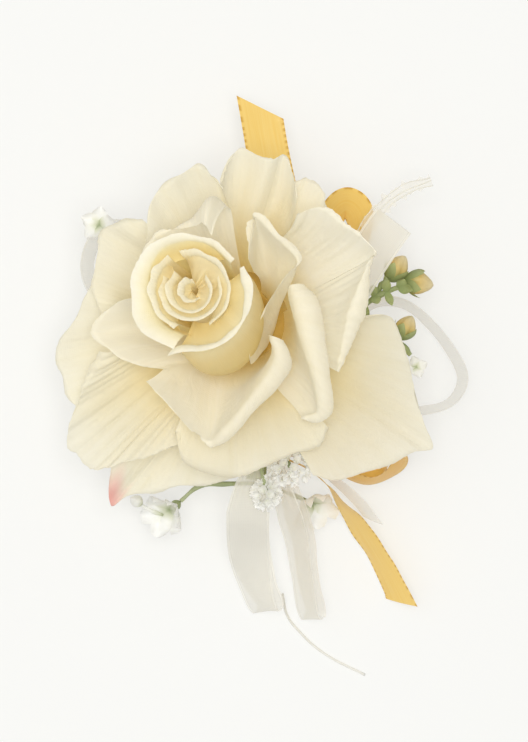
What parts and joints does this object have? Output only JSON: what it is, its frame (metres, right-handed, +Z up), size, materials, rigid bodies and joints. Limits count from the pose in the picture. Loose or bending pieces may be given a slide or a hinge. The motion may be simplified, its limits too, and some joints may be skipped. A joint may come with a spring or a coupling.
{
  "type": "wrist corsage",
  "caption": "Wrist corsage: a large open cream fabric rose with gold satin and sheer ribbon loops, bud and floret sprigs, clamped to an elastic wrist band.",
  "frame": {"origin": "centre of the lower face of the relaxed wrist band, which it rests on", "axes": "+Z up out of the rose's face, +Y from the ribbon tails' end to the upper tail, +X to the right as seen from above; the wrist passes along Y"},
  "size_m": [0.0959, 0.139, 0.0732],
  "materials": {
    "silk_petal": "woven polyester petal, matte",
    "hub_plastic": "moulded, dull yellow",
    "gold_satin": "satin ribbon with woven edges",
    "sheer_organza": "sheer organza with bright woven edges",
    "elastic_band": "ruched satin over elastic",
    "tinned_steel": "thin pressed sheet",
    "green_stem": "taped wire and moulded stem",
    "bud_plastic": "moulded, pale green to cream",
    "floret_plastic": "moulded, off-white"
  },
  "bodies": {
    "corsage": {"band_bend_left": "elastic_band", "band_bend_right": "elastic_band", "band_upper_run": "elastic_band", "blossom_clump_left": "floret_plastic", "blossom_clump_right": "floret_plastic", "bud_petal_left": "silk_petal", "bud_petal_right": "silk_petal", "clamp_plate": "tinned_steel", "front_floret": "floret_plastic", "gold_knot": "gold_satin", "gold_loop_lower": "gold_satin", "gold_loop_upper": "gold_satin", "gold_tail_upper": "gold_satin", "heart_petal_1": "silk_petal", "heart_petal_2": "silk_petal", "heart_petal_3": "silk_petal", "heart_petal_4": "silk_petal", "heart_petal_5": "silk_petal", "inner_petal_front": "silk_petal", "inner_petal_left": "silk_petal", "inner_petal_right": "silk_petal", "inner_petal_scroll": "silk_petal", "inner_petal_upper": "silk_petal", "outer_petal_front": "silk_petal", "outer_petal_front_left": "silk_petal", "outer_petal_front_right": "silk_petal", "outer_petal_left": "silk_petal", "outer_petal_left_back": "silk_petal", "outer_petal_right": "silk_petal", "outer_petal_tinted": "silk_petal", "outer_petal_top": "silk_petal", "outer_petal_top_left": "silk_petal", "outer_petal_top_right": "silk_petal", "rose_calyx": "green_stem", "rose_hub": "hub_plastic", "sheer_cut_end": "sheer_organza", "sheer_frayed_tail": "sheer_organza", "sheer_knot": "sheer_organza", "sheer_loop_left": "sheer_organza", "sheer_loop_right": "sheer_organza", "sheer_loop_upper": "sheer_organza", "sprig_wire": "green_stem", "stem_bundle": "green_stem", "upper_floret": "floret_plastic"},
    "band_lower": {"band_lower_run": "elastic_band"},
    "tab_back_left": {"clamp_tab_back_left": "tinned_steel"},
    "tab_back_right": {"clamp_tab_back_right": "tinned_steel"},
    "tab_front_left": {"clamp_tab_front_left": "tinned_steel"},
    "tab_front_right": {"clamp_tab_front_right": "tinned_steel"},
    "front_loop_left": {"sheer_loop_front_left": "sheer_organza", "loose_thread": "sheer_organza"},
    "front_loop_right": {"sheer_loop_front_right": "sheer_organza"},
    "gold_tail": {"gold_tail_lower": "gold_satin"},
    "bud_sprig": {"bud_sprig_stem": "green_stem", "sprig_bud_upper": "bud_plastic", "sprig_bud_end": "bud_plastic", "sprig_bud_lower": "bud_plastic", "sprig_floret": "floret_plastic"},
    "lower_sprig": {"lower_floret_stem": "green_stem", "lower_floret": "floret_plastic"}
  },
  "joints": [
    {"name": "band_stretch", "type": "slide", "parent": "corsage", "child": "band_lower", "axis": [0, 0, -1], "range_m": [0, 0.03], "stiffness_N_per_m": 150, "deforming": ["band_bend_left", "band_bend_right"]},
    {"name": "tab_back_left_fold", "type": "hinge", "parent": "corsage", "child": "tab_back_left", "pos_m": [-0.0054, 0.0045, 0.0166], "axis": [0, -1, 0], "range_deg": [0, 60]},
    {"name": "tab_back_right_fold", "type": "hinge", "parent": "corsage", "child": "tab_back_right", "pos_m": [0.0054, 0.0045, 0.0166], "axis": [0, 1, 0], "range_deg": [0, 60]},
    {"name": "tab_front_left_fold", "type": "hinge", "parent": "corsage", "child": "tab_front_left", "pos_m": [-0.0054, -0.0045, 0.0166], "axis": [0, -1, 0], "range_deg": [0, 60]},
    {"name": "tab_front_right_fold", "type": "hinge", "parent": "corsage", "child": "tab_front_right", "pos_m": [0.0054, -0.0045, 0.0166], "axis": [0, 1, 0], "range_deg": [0, 60]},
    {"name": "front_loop_left_lift", "type": "hinge", "parent": "corsage", "child": "front_loop_left", "pos_m": [0.0024, -0.0313, 0.023], "axis": [-1, 0, 0], "range_deg": [0, 6]},
    {"name": "front_loop_right_lift", "type": "hinge", "parent": "corsage", "child": "front_loop_right", "pos_m": [0.007, -0.0313, 0.0215], "axis": [-1, 0, 0], "range_deg": [0, 10]},
    {"name": "gold_tail_lift", "type": "hinge", "parent": "corsage", "child": "gold_tail", "pos_m": [0.0064, -0.0302, 0.0168], "axis": [-0.75, -0.6614, 0], "range_deg": [0, 10]},
    {"name": "bud_sprig_bend", "type": "hinge", "parent": "corsage", "child": "bud_sprig", "pos_m": [0.025, -0.0012, 0.0272], "axis": [0, 0, 1], "range_deg": [-8, 8]},
    {"name": "lower_sprig_bend", "type": "hinge", "parent": "corsage", "child": "lower_sprig", "pos_m": [0.0024, -0.0371, 0.018], "axis": [0, 0, 1], "range_deg": [-8, 8]}
  ]
}
